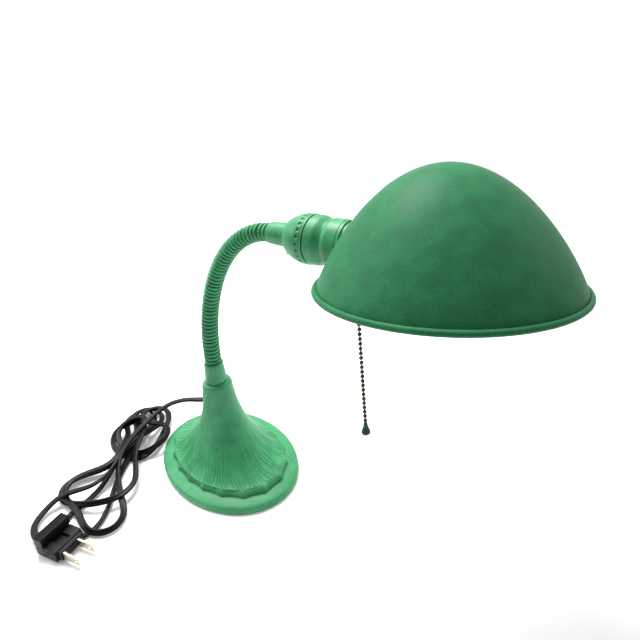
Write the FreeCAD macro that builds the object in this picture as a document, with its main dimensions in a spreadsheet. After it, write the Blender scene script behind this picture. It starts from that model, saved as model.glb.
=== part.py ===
import FreeCAD, Part
import Sketcher
import math
import os

from FreeCAD import Placement, Rotation, Vector

# Gooseneck desk lamp: a heavy oval base, a ribbed flexible neck, a pull-chain lamp
# socket and a domed shade.  Millimetres and degrees.  The origin is the centre of the
# base's underside.  +X is the way the neck reaches, +Z is up.

DIMENSIONS = {
    # base
    "base_half_length": 77.0,
    "base_half_width": 52.5,
    "base_turn": -13.5,
    "base_edge_height": 5.0,
    "base_wall": 11.0,
    "nut_well_radius": 11.0,
    "relief_half_length": 67.2,
    "relief_half_width": 43.1,
    "relief_foot": 8.6,
    "relief_top": 14.0,
    "relief_petals": 18.0,
    "scallop_depth": 3.0,
    "cone_top": 91.0,
    "cone_top_radius": 10.4,
    "shoulder_drop": 2.6,
    "nut_seat": 60.0,
    "felt_thickness": 1.5,
    "felt_margin": 5.0,
    # threaded pipe and its fastenings
    "pipe_radius": 5.1,
    "pipe_bore": 3.3,
    "fit_gap": 0.05,
    "washer_radius": 9.5,
    "washer_thickness": 1.2,
    "nut_across_flats": 14.3,
    "nut_thickness": 4.0,
    # ferrules at the two ends of the neck
    "ferrule_length": 20.0,
    "ferrule_low_radius": 8.9,
    "ferrule_high_radius": 7.9,
    "ferrule_bore": 5.15,
    "head_ferrule_length": 18.0,
    # flexible neck
    "neck_length": 170.0,
    "neck_rib_radius": 7.2,
    "neck_core_radius": 5.9,
    "neck_rib_width": 2.3,
    "neck_end_gap": 0.9,
    "socket_slack": 1.0,
    "neck_even_bend": 0.54,
    "neck_bend_power": 4.4,
    "spigot_radius": 4.2,
    "spigot_bore": 3.3,
    "spigot_reach": 1.5,
    # socket, measured along its axis from the end of the neck
    "cap_radius": 18.1,
    "cap_seam": 39.2,
    "cap_wall": 0.8,
    "waist_start": 49.2,
    "shell_radius": 15.9,
    "shell_wall": 0.7,
    "shell_mouth": 99.0,
    "liner_radius": 15.1,
    "liner_bore": 14.5,
    "housing_start": 44.0,
    "housing_end": 76.5,
    "housing_radius": 14.4,
    "contact_room": 2.8,
    "screw_shell_radius": 13.9,
    "screw_shell_bore": 13.3,
    "collar_start": 53.0,
    "collar_end": 64.2,
    "collar_radius": 17.0,
    "lock_ring_length": 2.5,
    # pull chain and switch
    "chain_place": 70.5,
    "bead_radius": 1.6,
    "bead_pitch": 4.05,
    "chain_link_radius": 0.5,
    "guide_bore": 2.2,
    "guide_radius": 3.2,
    "guide_reach": 23.0,
    "bell_radius": 3.6,
    "bell_height": 10.5,
    "pivot_side": 8.0,
    "pivot_drop": 2.0,
    "pivot_radius": 1.0,
    # shade
    "shade_radius": 84.7,
    "shade_depth": 78.2,
    "shade_power": 1.2,
    "shade_wall": 0.6,
    "rim_bead_radius": 2.0,
    "shade_centre": 140.5,
    "shade_drop": 16.5,
    "shade_nose_up": 3.0,
    "shade_roll": -11.0,
    # supply cord and plug
    "cord_width": 5.4,
    "cord_exit_height": 36.0,
    "cord_exit_turn": -35.0,
    "bushing_radius": 4.6,
    "bushing_inner": 16.0,
    "bushing_outer": 35.0,
    "lead_radius": 1.7,
    "plug_x": -60.0,
    "plug_y": -130.0,
    "plug_turn": 4.0,
    "plug_back": 14.5,
    "plug_low_side": 10.5,
    "plug_high_side": 14.0,
    "plug_bottom": 1.2,
    "plug_top": 11.0,
    "plug_cord_side": -5.5,
    "plug_cord_height": 7.9,
    "blade_length": 17.0,
    "blade_width": 6.3,
    "blade_thickness": 1.5,
    "blade_spacing": 12.7,
}

# Ribs on each link of the neck, from the base up: short links where it bends most.
LINK_RIBS = [6, 5, 4, 4, 3, 3, 3, 3, 2, 2, 2, 2, 2, 2, 2]

# The base's flared cone from the relief up: half length, half width, height.
CONE_SECTIONS = [
    (61.5, 40.6, 13.0),
    (56.0, 38.2, 16.6),
    (47.5, 33.6, 21.0),
    (39.0, 28.4, 28.0),
    (31.0, 23.2, 38.0),
    (24.6, 19.2, 48.0),
    (19.6, 16.6, 58.0),
    (16.2, 15.0, 67.0),
    (14.4, 13.9, 76.0),
    (13.0, 13.0, 88.4),
]

# Routes of the supply cord's centre line, laid by hand.
LEAD_ROUTE = [
    (-30.0, 34.0, 36.8),
    (-45.0, 39.5, 36.0),
    (-61.5, 32.5, 32.5),
    (-76.0, 23.5, 29.5),
    (-87.0, 12.0, 26.5),
    (-92.0, -2.0, 22.5),
    (-93.5, -15.0, 18.5),
    (-96.0, -27.0, 15.0),
]
TAIL_ROUTE = [
    (-86.0, -84.0, 7.0),
    (-96.0, -92.0, 6.0),
    (-104.0, -101.0, 4.0),
    (-106.0, -113.0, 3.2),
    (-101.0, -124.5, 4.4),
    (-90.0, -133.0, 6.6),
    (-79.0, -136.9, 7.9),
    (-70.0, -136.3, 7.9),
]
# Cross-sections of the hank: centre x, centre y, half width, height.
HANK_SECTIONS = [
    (-137.0, 14.0, 9.0, 7.0),
    (-129.0, 4.0, 24.0, 10.0),
    (-114.0, -10.0, 30.0, 15.0),
    (-101.0, -27.0, 29.0, 18.0),
    (-93.0, -44.0, 22.0, 18.0),
    (-86.0, -64.0, 20.0, 15.0),
    (-78.0, -84.0, 28.0, 11.0),
    (-72.0, -99.0, 24.0, 8.0),
    (-69.0, -107.0, 9.0, 5.0),
]

X_AXIS = Vector(1, 0, 0)
Y_AXIS = Vector(0, 1, 0)
Z_AXIS = Vector(0, 0, 1)

doc = FreeCAD.newDocument("GooseneckLamp")
sheet = doc.addObject("Spreadsheet::Sheet", "Dimensions")
for row, (alias, value) in enumerate(DIMENSIONS.items(), start=1):
    sheet.set(f"A{row}", alias)
    sheet.set(f"B{row}", str(value))
    sheet.setAlias(f"B{row}", alias)
doc.recompute()

sub_parts = []


def size(alias):
    """A dimension of the sheet, in millimetres or degrees."""
    return float(sheet.get(alias))


def bound(expression):
    """The expression with each dimension's name replaced by its cell."""
    words = expression.replace("(", "( ").replace(")", " )").split()
    return " ".join(f"Dimensions.{word}" if word in DIMENSIONS else word for word in words)


def origin_feature(body, role):
    return next(item for item in body.Origin.OriginFeatures if item.Role == role)


def new_body(name, placement=None):
    body = doc.addObject("PartDesign::Body", name)
    body.Label = name
    body.Placement = placement or Placement()
    sub_parts.append(body)
    return body


def new_sketch(body, name, role):
    sketch = body.newObject("Sketcher::SketchObject", name)
    sketch.AttachmentSupport = [(origin_feature(body, role), "")]
    sketch.MapMode = "FlatFace"
    return sketch


def pin_point(sketch, line, coordinates):
    """Hold the start of a sketch line at (across, up), each given as an expression."""
    vertical_axis, horizontal_axis = -2, -1
    kinds = (("DistanceX", vertical_axis), ("DistanceY", horizontal_axis))
    for (kind, axis), text in zip(kinds, coordinates):
        value = sketch.evalExpression(bound(text))
        if abs(float(value)) < 1e-9:
            sketch.addConstraint(Sketcher.Constraint("PointOnObject", line, 1, axis))
            continue
        index = sketch.addConstraint(Sketcher.Constraint(kind, -1, 1, line, 1, float(value)))
        sketch.setExpression(f"Constraints[{index}]", bound(text))


def closed_outline(sketch, points):
    """Straight lines through the points, joined end to end and held by the sheet."""
    places = []
    for across, up in points:
        places.append(Vector(float(sketch.evalExpression(bound(across))),
                             float(sketch.evalExpression(bound(up))), 0))
    count = len(points)
    for index in range(count):
        sketch.addGeometry(Part.LineSegment(places[index], places[(index + 1) % count]))
    for index in range(count):
        sketch.addConstraint(Sketcher.Constraint("Coincident", index, 2, (index + 1) % count, 1))
    for index, point in enumerate(points):
        pin_point(sketch, index, point)


def turned_body(name, outline, placement=None):
    """A solid of revolution about its own Z: the outline's points are (radius, height)."""
    body = new_body(name, placement)
    sketch = new_sketch(body, name + "_profile", "XZ_Plane")
    closed_outline(sketch, outline)
    turn = body.newObject("PartDesign::Revolution", name + "_turn")
    turn.Profile = sketch
    turn.ReferenceAxis = (sketch, ["V_Axis"])
    turn.Angle = 360
    doc.recompute()
    return body


def shaped(name, shape, placement=None):
    """A sub-part whose shape comes from Part's own functions."""
    feature = doc.addObject("Part::Feature", name)
    feature.Label = name
    feature.Shape = shape
    feature.Placement = placement or Placement()
    sub_parts.append(feature)
    return feature


def ellipse_wire(half_length, half_width, height):
    ellipse = Part.Ellipse(Vector(0, 0, height), half_length, half_width)
    return Part.Wire([ellipse.toShape()])


def ellipse_solid(half_length, half_width, low, high):
    face = Part.Face(ellipse_wire(half_length, half_width, low))
    return face.extrude(Vector(0, 0, high - low))


def cylinder(radius, start, end):
    """A round bar between two points."""
    way = Vector(end) - Vector(start)
    return Part.makeCylinder(radius, way.Length, Vector(start), way)


def box(low, high):
    low, high = Vector(low), Vector(high)
    spread = high - low
    return Part.makeBox(spread.x, spread.y, spread.z, low)


def rounded_route(points):
    """Straight runs joined by tangent arcs, and the smallest arc's radius."""
    points = [Vector(*point) for point in points]
    share = 0.45
    edges = []
    start = points[0]
    smallest = float("inf")
    for before, corner, after in zip(points, points[1:], points[2:]):
        arriving = (corner - before).normalize()
        leaving = (after - corner).normalize()
        setback = share * min(before.distanceToPoint(corner), corner.distanceToPoint(after))
        half_turn = arriving.getAngle(leaving) / 2
        radius = setback / math.tan(half_turn)
        smallest = min(smallest, radius)
        arc_start = corner - arriving * setback
        arc_end = corner + leaving * setback
        inward = (leaving - arriving).normalize()
        middle = corner + inward * (radius / math.cos(half_turn) - radius)
        edges.append(Part.LineSegment(start, arc_start).toShape())
        edges.append(Part.Arc(arc_start, middle, arc_end).toShape())
        start = arc_end
    edges.append(Part.LineSegment(start, points[-1]).toShape())
    return Part.Wire(edges), smallest


def tube(name, points, radius):
    """A round cord along a rounded route."""
    path, smallest = rounded_route(points)
    first = path.Edges[0]
    section = Part.Wire([Part.makeCircle(radius, first.Vertexes[0].Point, first.tangentAt(0))])
    solid = path.makePipeShell([section], True, False, 2)
    expected = math.pi * radius**2 * path.Length
    print(f"{name}: length {path.Length:.1f}, smallest bend radius {smallest:.1f}, "
          f"volume over section times length {solid.Volume / expected:.3f}")
    return solid


# ---- where the neck runs -------------------------------------------------------------

RIB_PITCH = size("neck_length") / sum(LINK_RIBS)
NECK_FOOT = Vector(0, 0, size("cone_top") + size("ferrule_length"))


def neck_heading(share):
    """Angle of the neck from upright, in degrees, at a share of its length."""
    even = size("neck_even_bend")
    return 90 * (even * share + (1 - even) * share ** size("neck_bend_power"))


def neck_links():
    """Foot point and heading of each link, and the neck's far end."""
    links = []
    foot = Vector(NECK_FOOT)
    ribs_below = 0
    for ribs in LINK_RIBS:
        heading = neck_heading((ribs_below + ribs / 2) / sum(LINK_RIBS))
        links.append((Vector(foot), heading))
        way = Vector(math.sin(math.radians(heading)), 0, math.cos(math.radians(heading)))
        foot = foot + way * (ribs * RIB_PITCH)
        ribs_below += ribs
    return links, foot


LINKS, NECK_END = neck_links()
BASE_FRAME = Placement(Vector(), Rotation(Z_AXIS, size("base_turn")))
EXIT_FRAME = Placement(Vector(), Rotation(Z_AXIS, size("base_turn") + size("cord_exit_turn")))
HEAD_FRAME = Placement(NECK_END, Rotation(Y_AXIS, 90))
CHAIN_X = NECK_END.x + size("chain_place")
AXIS_HEIGHT = NECK_END.z


def on_socket_axis(distance, side=0.0, height=0.0):
    """A point a distance along the socket's axis, off it by side (+Y) and height (+Z)."""
    return Vector(NECK_END.x + distance, side, AXIS_HEIGHT + height)


# ---- base ----------------------------------------------------------------------------

def cone_solid(sections, inset):
    wires = [ellipse_wire(length - inset, width - inset, height) for length, width, height in sections]
    return Part.makeLoft(wires, True, False)


def petal_ring():
    """The raised relief's edge: one inward scallop between each two cusps."""
    count = int(size("relief_petals"))
    half_length = size("relief_half_length")
    half_width = size("relief_half_width")

    def rim_point(step, inward):
        angle = 2 * math.pi * step / count
        return Vector((half_length - inward) * math.cos(angle), (half_width - inward) * math.sin(angle), 0)

    arcs = []
    for petal in range(count):
        cusps = (rim_point(petal - 0.5, 0), rim_point(petal + 0.5, 0))
        middle = rim_point(petal, size("scallop_depth"))
        arcs.append(Part.Arc(cusps[0], middle, cusps[1]).toShape())
    low = size("base_edge_height") - 1
    ring = Part.Face(Part.Wire(arcs)).extrude(Vector(0, 0, size("relief_top") - low))
    ring.translate(Vector(0, 0, low))
    return ring


def base_casting():
    edge = size("base_edge_height")
    wall = size("base_wall")
    length = size("base_half_length")
    width = size("base_half_width")
    plinth = ellipse_solid(length, width, 0.3, edge)
    plinth = plinth.makeFillet(1.0, [item for item in plinth.Edges if item.BoundBox.ZMin > edge - 0.01])
    flange = Part.makeLoft([ellipse_wire(length - 1.2, width - 1.2, edge - 0.2),
                            ellipse_wire(size("relief_half_length") + 0.6, size("relief_half_width") + 0.6,
                                         size("relief_foot"))], True, True)
    shoulder = size("cone_top") - size("shoulder_drop")
    collar = Part.makeCone(CONE_SECTIONS[-1][0], size("cone_top_radius"), size("shoulder_drop"),
                           Vector(0, 0, shoulder))
    body = plinth.fuse([flange, petal_ring(), cone_solid(CONE_SECTIONS, 0.0), collar])
    hollow = cone_solid(CONE_SECTIONS[:5], wall)
    well = cylinder(size("nut_well_radius"), (0, 0, 10), (0, 0, size("nut_seat")))
    foot_length, foot_width, foot_height = CONE_SECTIONS[0]
    hollow = hollow.fuse(ellipse_solid(foot_length - wall, foot_width - wall, -1, foot_height))
    recess = ellipse_solid(length - size("felt_margin"), width - size("felt_margin"),
                           -1, size("felt_thickness") + 0.1)
    pipe_hole = cylinder(size("pipe_radius") + size("fit_gap"), (0, 0, 50), (0, 0, 120))
    height = size("cord_exit_height")
    cord_hole = cylinder(size("bushing_radius") + size("fit_gap"), (-60, 0, height), (-5, 0, height))
    cord_hole.rotate(Vector(), Z_AXIS, size("cord_exit_turn"))
    return body.cut([hollow, well, recess, pipe_hole, cord_hole]).removeSplitter()


def build_base():
    shaped("base_casting", base_casting(), BASE_FRAME)
    felt = new_body("felt_pad", BASE_FRAME)
    sketch = new_sketch(felt, "felt_outline", "XY_Plane")
    half_length = size("base_half_length") - size("felt_margin") - 0.3
    half_width = size("base_half_width") - size("felt_margin") - 0.3
    sketch.addGeometry(Part.Ellipse(Vector(), half_length, half_width))
    pad = felt.newObject("PartDesign::Pad", "felt_sheet")
    pad.Profile = sketch
    pad.setExpression("Length", bound("felt_thickness"))
    seat = size("nut_seat")
    turned_body("base_nipple", [
        ("pipe_bore", f"{seat - 8}"),
        ("pipe_radius", f"{seat - 8}"),
        ("pipe_radius", "cone_top + ferrule_length - 6"),
        ("pipe_bore", "cone_top + ferrule_length - 6"),
    ])
    turned_body("base_washer", [
        ("pipe_radius + fit_gap", "nut_seat - washer_thickness"),
        ("washer_radius", "nut_seat - washer_thickness"),
        ("washer_radius", "nut_seat"),
        ("pipe_radius + fit_gap", "nut_seat"),
    ])
    hex_nut("base_locknut", Placement(Vector(0, 0, seat - size("washer_thickness")
                                             - size("nut_thickness")), Rotation()))
    turned_body("ferrule_lower", [
        ("pipe_radius + fit_gap", "cone_top"),
        ("ferrule_low_radius", "cone_top"),
        ("ferrule_low_radius + 0.4", "cone_top + 2"),
        ("ferrule_high_radius", "cone_top + ferrule_length - 1"),
        ("ferrule_high_radius - 0.4", "cone_top + ferrule_length - neck_end_gap"),
        ("spigot_radius", "cone_top + ferrule_length - neck_end_gap"),
        ("spigot_radius", "cone_top + ferrule_length + spigot_reach"),
        ("spigot_bore", "cone_top + ferrule_length + spigot_reach"),
        ("spigot_bore", "cone_top + ferrule_length - 5"),
        ("pipe_radius + fit_gap", "cone_top + ferrule_length - 5"),
    ])
    bushing_frame = EXIT_FRAME.multiply(
        Placement(Vector(0, 0, size("cord_exit_height")), Rotation(Y_AXIS, -90)))
    turned_body("cord_bushing", [
        ("cord_width / 2 + fit_gap", "bushing_inner"),
        ("bushing_radius", "bushing_inner"),
        ("bushing_radius", "bushing_outer - 7"),
        ("bushing_radius - 0.6", "bushing_outer"),
        ("cord_width / 2 + fit_gap", "bushing_outer"),
    ], bushing_frame)


def hex_nut(name, placement):
    """A hexagonal nut on the threaded pipe, its bottom face at the placement."""
    body = new_body(name, placement)
    sketch = new_sketch(body, name + "_outline", "XY_Plane")
    corner = size("nut_across_flats") / math.sqrt(3)
    corners = [Vector(corner * math.cos(math.radians(60 * step)),
                      corner * math.sin(math.radians(60 * step)), 0) for step in range(6)]
    for step in range(6):
        sketch.addGeometry(Part.LineSegment(corners[step], corners[(step + 1) % 6]))
    sketch.addGeometry(Part.Circle(Vector(), Z_AXIS, size("pipe_radius") + size("fit_gap")))
    pad = body.newObject("PartDesign::Pad", name + "_pad")
    pad.Profile = sketch
    pad.setExpression("Length", bound("nut_thickness"))
    doc.recompute()


# ---- flexible neck -------------------------------------------------------------------

def neck_link(ribs):
    """One link, foot at the origin and running up Z: ribs, a bored core and a spigot."""
    length = ribs * RIB_PITCH
    gap = size("neck_end_gap")
    core = size("neck_core_radius")
    crest = size("neck_rib_radius")
    half_rib = size("neck_rib_width") / 2
    socket_depth = size("spigot_reach") + size("socket_slack")
    solid = cylinder(core, (0, 0, gap), (0, 0, length - gap))
    for rib in range(ribs):
        middle = (rib + 0.5) * RIB_PITCH
        foot_low = Vector(core - 0.3, 0, middle - half_rib)
        foot_high = Vector(core - 0.3, 0, middle + half_rib)
        profile = Part.Wire([
            Part.Arc(foot_low, Vector(crest, 0, middle), foot_high).toShape(),
            Part.LineSegment(foot_high, foot_low).toShape(),
        ])
        solid = solid.fuse(Part.Face(profile).revolve(Vector(), Z_AXIS, 360))
    solid = solid.cut(cylinder(size("ferrule_bore"), (0, 0, 0), (0, 0, socket_depth)))
    solid = solid.fuse(cylinder(size("spigot_radius"), (0, 0, length - 2 * gap),
                                (0, 0, length + size("spigot_reach"))))
    return solid.cut(cylinder(size("spigot_bore"), (0, 0, 0), (0, 0, length + 9)))


def build_neck():
    for number, (ribs, (foot, heading)) in enumerate(zip(LINK_RIBS, LINKS), start=1):
        frame = Placement(foot, Rotation(Y_AXIS, heading))
        shaped(f"neck_link_{number:02d}", neck_link(ribs), frame)


# ---- socket --------------------------------------------------------------------------

def build_socket():
    turned_body("ferrule_upper", [
        ("ferrule_bore", "neck_end_gap"),
        ("ferrule_high_radius", "neck_end_gap"),
        ("ferrule_high_radius + 0.4", "neck_end_gap + 1"),
        ("ferrule_low_radius + 0.2", "head_ferrule_length - 2"),
        ("ferrule_low_radius", "head_ferrule_length"),
        ("pipe_radius + fit_gap", "head_ferrule_length"),
        ("pipe_radius + fit_gap", "5"),
        ("ferrule_bore", "5"),
    ], HEAD_FRAME)
    turned_body("head_nipple", [
        ("pipe_bore", "6"),
        ("pipe_radius", "6"),
        ("pipe_radius", "head_ferrule_length + 12"),
        ("pipe_bore", "head_ferrule_length + 12"),
    ], HEAD_FRAME)
    hex_nut("head_locknut", HEAD_FRAME.multiply(
        Placement(Vector(0, 0, size("head_ferrule_length") + 6), Rotation())))
    shaped("socket_cap", socket_cap(), HEAD_FRAME)
    shaped("cap_set_screw", set_screw(), HEAD_FRAME)
    turned_body("socket_shell", [
        ("cap_radius - shell_wall", "cap_seam"),
        ("cap_radius", "cap_seam"),
        ("cap_radius", "waist_start"),
        ("shell_radius", "waist_start + 1.5"),
        ("shell_radius", "shell_mouth"),
        ("shell_radius - shell_wall", "shell_mouth"),
        ("shell_radius - shell_wall", "waist_start + 1.2"),
        ("cap_radius - shell_wall", "waist_start - 0.4"),
    ], HEAD_FRAME)
    drill(doc.getObject("socket_shell"), "chain_exit", size("guide_radius") + size("fit_gap"))
    turned_body("insulating_liner", [
        ("liner_bore", "waist_start + 2"),
        ("liner_radius", "waist_start + 2"),
        ("liner_radius", "shell_mouth - 1"),
        ("liner_bore", "shell_mouth - 1"),
    ], HEAD_FRAME)
    drill(doc.getObject("insulating_liner"), "liner_exit", size("guide_radius") + size("fit_gap"))
    shaped("switch_housing", switch_housing())
    turned_body("screw_shell", [
        ("screw_shell_bore", "housing_end + contact_room"),
        ("screw_shell_radius", "housing_end + contact_room"),
        ("screw_shell_radius", "shell_mouth - 1.5"),
        ("screw_shell_bore", "shell_mouth - 1.5"),
    ], HEAD_FRAME)
    turned_body("centre_contact", [
        ("0", "housing_end"),
        ("3.5", "housing_end"),
        ("3.5", "housing_end + 0.6"),
        ("2", "housing_end + 2.2"),
        ("0", "housing_end + 2.6"),
    ], HEAD_FRAME)
    shaped("terminal_screws", terminal_screws())
    turned_body("lock_ring", [
        ("shell_radius + fit_gap", "collar_end + 0.2"),
        ("collar_radius", "collar_end + 0.2"),
        ("collar_radius", "collar_end + 0.2 + lock_ring_length"),
        ("shell_radius + fit_gap", "collar_end + 0.2 + lock_ring_length"),
    ], HEAD_FRAME)
    shaped("head_leads", head_leads())


def socket_cap():
    """A pressed bell: a hub on the pipe, a shoulder and a skirt down to the seam."""
    start = size("head_ferrule_length")
    seam = size("cap_seam")
    radius = size("cap_radius")
    wall = size("cap_wall")

    def bell(outer, low):
        shoulder = Part.Arc(Vector(9.6 + outer, 0, low), Vector(radius - 3.4 + outer, 0, start + 5.2),
                            Vector(radius + outer, 0, start + 13.5))
        edges = [
            shoulder.toShape(),
            Part.LineSegment(Vector(radius + outer, 0, start + 13.5),
                             Vector(radius + outer, 0, seam)).toShape(),
            Part.LineSegment(Vector(radius + outer, 0, seam), Vector(0, 0, seam)).toShape(),
            Part.LineSegment(Vector(0, 0, seam), Vector(0, 0, low)).toShape(),
            Part.LineSegment(Vector(0, 0, low), Vector(9.6 + outer, 0, low)).toShape(),
        ]
        return Part.Face(Part.Wire(edges)).revolve(Vector(), Z_AXIS, 360)

    shell = bell(0.0, start).cut(bell(-wall, start + wall))
    hub = cylinder(8.0, (0, 0, start), (0, 0, start + 6))
    cap = shell.fuse(hub)
    pipe = cylinder(size("pipe_radius") + size("fit_gap"), (0, 0, start - 1), (0, 0, seam))
    return cap.cut([pipe, screw_bar(size("fit_gap"))])


def screw_bar(extra):
    """The set screw's round bar, entering the cap's hub from its lower near side."""
    place = size("head_ferrule_length") + 3
    way = Vector(math.cos(math.radians(-40)), math.sin(math.radians(-40)), 0)
    middle = Vector(0, 0, place)
    return cylinder(1.5 + extra, middle + way * (size("pipe_radius") + 0.1 - extra), middle + way * 14)


def set_screw():
    place = Vector(0, 0, size("head_ferrule_length") + 3)
    way = Vector(math.cos(math.radians(-40)), math.sin(math.radians(-40)), 0)
    slot = box((-3, -0.3, -2), (3, 0.3, 2))
    slot.rotate(Vector(), Z_AXIS, -40)
    slot.translate(place + way * 16)
    return screw_bar(0.0).cut(slot)


def drill(body, name, radius):
    """A round hole down through the underside of a turned socket piece, for the chain."""
    sketch = new_sketch(body, name + "_place", "YZ_Plane")
    sketch.addGeometry(Part.Circle(Vector(0, size("chain_place"), 0), Z_AXIS, radius))
    cut = body.newObject("PartDesign::Pocket", name)
    cut.Profile = sketch
    cut.Length = 25
    before = body.Shape.Volume
    cut.Reversed = True
    doc.recompute()
    if abs(before - body.Shape.Volume) < 1:
        cut.Reversed = False
        doc.recompute()


def switch_cavity():
    """The room for the lever and ratchet, open to the chain below."""
    place = size("chain_place")
    room = box(on_socket_axis(place - 3.6, -12.4, -6.6), on_socket_axis(place + 4.0, 2.6, 2.6))
    swing = box(on_socket_axis(place - 1.5, -7.0, -12.5), on_socket_axis(place + 1.7, 2.6, -6.0))
    shaft = cylinder(size("guide_radius") + 0.1, on_socket_axis(place, 0, 0), on_socket_axis(place, 0, -16))
    return room.fuse([swing, shaft])


def pivot_bar(radius, start, end):
    side, drop = -size("pivot_side"), -size("pivot_drop")
    return cylinder(radius, on_socket_axis(start, side, drop), on_socket_axis(end, side, drop))


def switch_housing():
    bar = cylinder(size("housing_radius"), on_socket_axis(size("housing_start")),
                   on_socket_axis(size("housing_end")))
    rim_seat = cylinder(size("housing_radius"), on_socket_axis(size("housing_end") - 1),
                        on_socket_axis(size("housing_end") + size("contact_room")))
    recess = cylinder(11.0, on_socket_axis(size("housing_end")), on_socket_axis(size("housing_end") + 9))
    block = bar.fuse(rim_seat).cut([switch_cavity(), recess])
    wire_way = cylinder(2.0, on_socket_axis(size("housing_start") - 1, 0, 6),
                        on_socket_axis(size("housing_start") + 12, 0, 6))
    place = size("chain_place")
    return block.cut([wire_way, pivot_bar(size("pivot_radius"), place - 5.6, place + 5.6)])


def build_switch():
    place = size("chain_place")
    shaped("switch_pin", pivot_bar(size("pivot_radius"), place - 5.5, place + 5.5))
    coil = None
    wire = 0.45
    for turn in range(2):
        ring = Part.makeTorus(2.2, wire, on_socket_axis(place + 2.2 + turn * 0.8, -size("pivot_side"),
                                                        -size("pivot_drop")), X_AXIS)
        coil = ring if coil is None else coil.fuse(ring)
    shaped("lever_spring", coil)
    shaped("pull_lever", pull_lever())
    shaped("ratchet_wheel", ratchet_wheel())
    guide_frame = Placement(on_socket_axis(place), Rotation(Y_AXIS, 180))
    turned_body("chain_guide", [
        ("guide_bore", "9.2"),
        ("guide_radius", "9.2"),
        ("guide_radius", "guide_reach - 2"),
        ("guide_radius + 1", "guide_reach"),
        ("guide_bore + 1", "guide_reach"),
        ("guide_bore", "guide_reach - 2"),
    ], guide_frame)


def pull_lever():
    """The arm on the pin that the chain pulls down, one tip over the chain."""
    place = size("chain_place")
    hub = pivot_bar(2.6, place - 0.9, place + 1.1)
    arm = box(on_socket_axis(place - 0.9, -size("pivot_side"), -size("pivot_drop") - 1.1),
              on_socket_axis(place + 1.1, 1.6, -size("pivot_drop") + 1.1))
    return hub.fuse(arm).cut(pivot_bar(size("pivot_radius") + size("fit_gap"), place - 3, place + 3))


def ratchet_wheel():
    place = size("chain_place")
    disc = pivot_bar(2.8, place - 3.2, place - 1.3)
    for step in range(4):
        tooth = box((place - 3.2, -0.7, 2.0), (place - 1.3, 0.7, 3.9))
        tooth.translate(Vector(NECK_END.x, 0, 0))
        tooth.rotate(Vector(), X_AXIS, 90 * step + 45)
        tooth.translate(Vector(0, -size("pivot_side"), AXIS_HEIGHT - size("pivot_drop")))
        disc = disc.fuse(tooth)
    return disc.cut(pivot_bar(size("pivot_radius") + size("fit_gap"), place - 4, place))


def terminal_screws():
    start = size("housing_start")
    screws = []
    for side in (-8.0, 8.0):
        head = cylinder(2.6, on_socket_axis(start - 2.2, side), on_socket_axis(start, side))
        slot = box(on_socket_axis(start - 2.3, side - 2.7, -0.35), on_socket_axis(start - 1.4, side + 2.7, 0.35))
        screws.append(head.cut(slot))
    return Part.makeCompound(screws)


def head_leads():
    """The two supply conductors, from the neck's pipe to the terminal screws."""
    radius = 0.9
    wires = []
    for side in (-1.0, 1.0):
        route = [on_socket_axis(12, side * 1.2), on_socket_axis(31.5, side * 1.3),
                 on_socket_axis(37, side * 6.8), on_socket_axis(41.6, side * 8.0)]
        wires.append(tube("head lead", [tuple(point) for point in route], radius))
    return Part.makeCompound(wires)


# ---- pull chain ----------------------------------------------------------------------

def bead_run(top, bottom_limit):
    """Beads on a thin link from a height down to a limit; the next bead's height."""
    pitch = size("bead_pitch")
    heights = []
    height = top
    while height > bottom_limit:
        heights.append(height)
        height -= pitch
    link = cylinder(size("chain_link_radius"), (CHAIN_X, 0, heights[0]), (CHAIN_X, 0, heights[-1]))
    for place in heights:
        link = link.fuse(Part.makeSphere(size("bead_radius"), Vector(CHAIN_X, 0, place)))
    return link, height


def build_chain():
    top = AXIS_HEIGHT - size("pivot_drop") - 1.1 - size("bead_radius") - 0.5
    upper, height = bead_run(top, AXIS_HEIGHT - size("guide_reach"))
    shaped("chain_top", upper)
    middle, height = bead_run(height, 152)
    shaped("chain_middle", middle)
    lower, height = bead_run(height, 95)
    shaped("chain_end", lower)
    bell_top = height + size("bead_pitch") - size("bead_radius") - size("fit_gap")
    turned_body("bell_pull", [
        ("0", "0 - bell_height"),
        ("bell_radius - 0.6", "0 - bell_height"),
        ("bell_radius", "1.2 - bell_height"),
        ("bell_radius - 0.5", "3.2 - bell_height"),
        ("bell_radius - 1.6", "6 - bell_height"),
        ("bead_radius - 0.1", "0 - 1.2"),
        ("bead_radius - 0.7", "0"),
        ("0", "0"),
    ], Placement(Vector(CHAIN_X, 0, bell_top), Rotation()))


def top_of(name):
    return doc.getObject(name).Shape.BoundBox.ZMax


# ---- shade ---------------------------------------------------------------------------

def shade_frame():
    """The dome's own frame: rim centre at the origin, crown along +Z."""
    centre = on_socket_axis(size("shade_centre"), 0, -size("shade_drop"))
    tipped = Placement(centre, Rotation(Y_AXIS, -size("shade_nose_up")))
    pivot = on_socket_axis(0)
    roll = Placement(Vector(), Rotation(X_AXIS, size("shade_roll")), pivot)
    return roll.multiply(tipped)


def dome_solid(radius, depth, low):
    """A solid dome: its radius falls off smoothly from the rim to the crown."""
    steps = 9
    points = []
    for step in range(steps + 1):
        angle = math.pi / 2 * step / steps
        height = depth * math.sin(angle) ** (2 / size("shade_power"))
        points.append(Vector(radius * math.cos(angle), 0, height))
    curve = Part.BSplineCurve()
    curve.interpolate(points)
    edges = [
        curve.toShape(),
        Part.LineSegment(points[-1], Vector(0, 0, low)).toShape(),
        Part.LineSegment(Vector(0, 0, low), Vector(radius, 0, low)).toShape(),
    ]
    if low < 0:
        edges.append(Part.LineSegment(Vector(radius, 0, low), points[0]).toShape())
    return Part.Face(Part.Wire(edges)).revolve(Vector(), Z_AXIS, 360)


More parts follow.
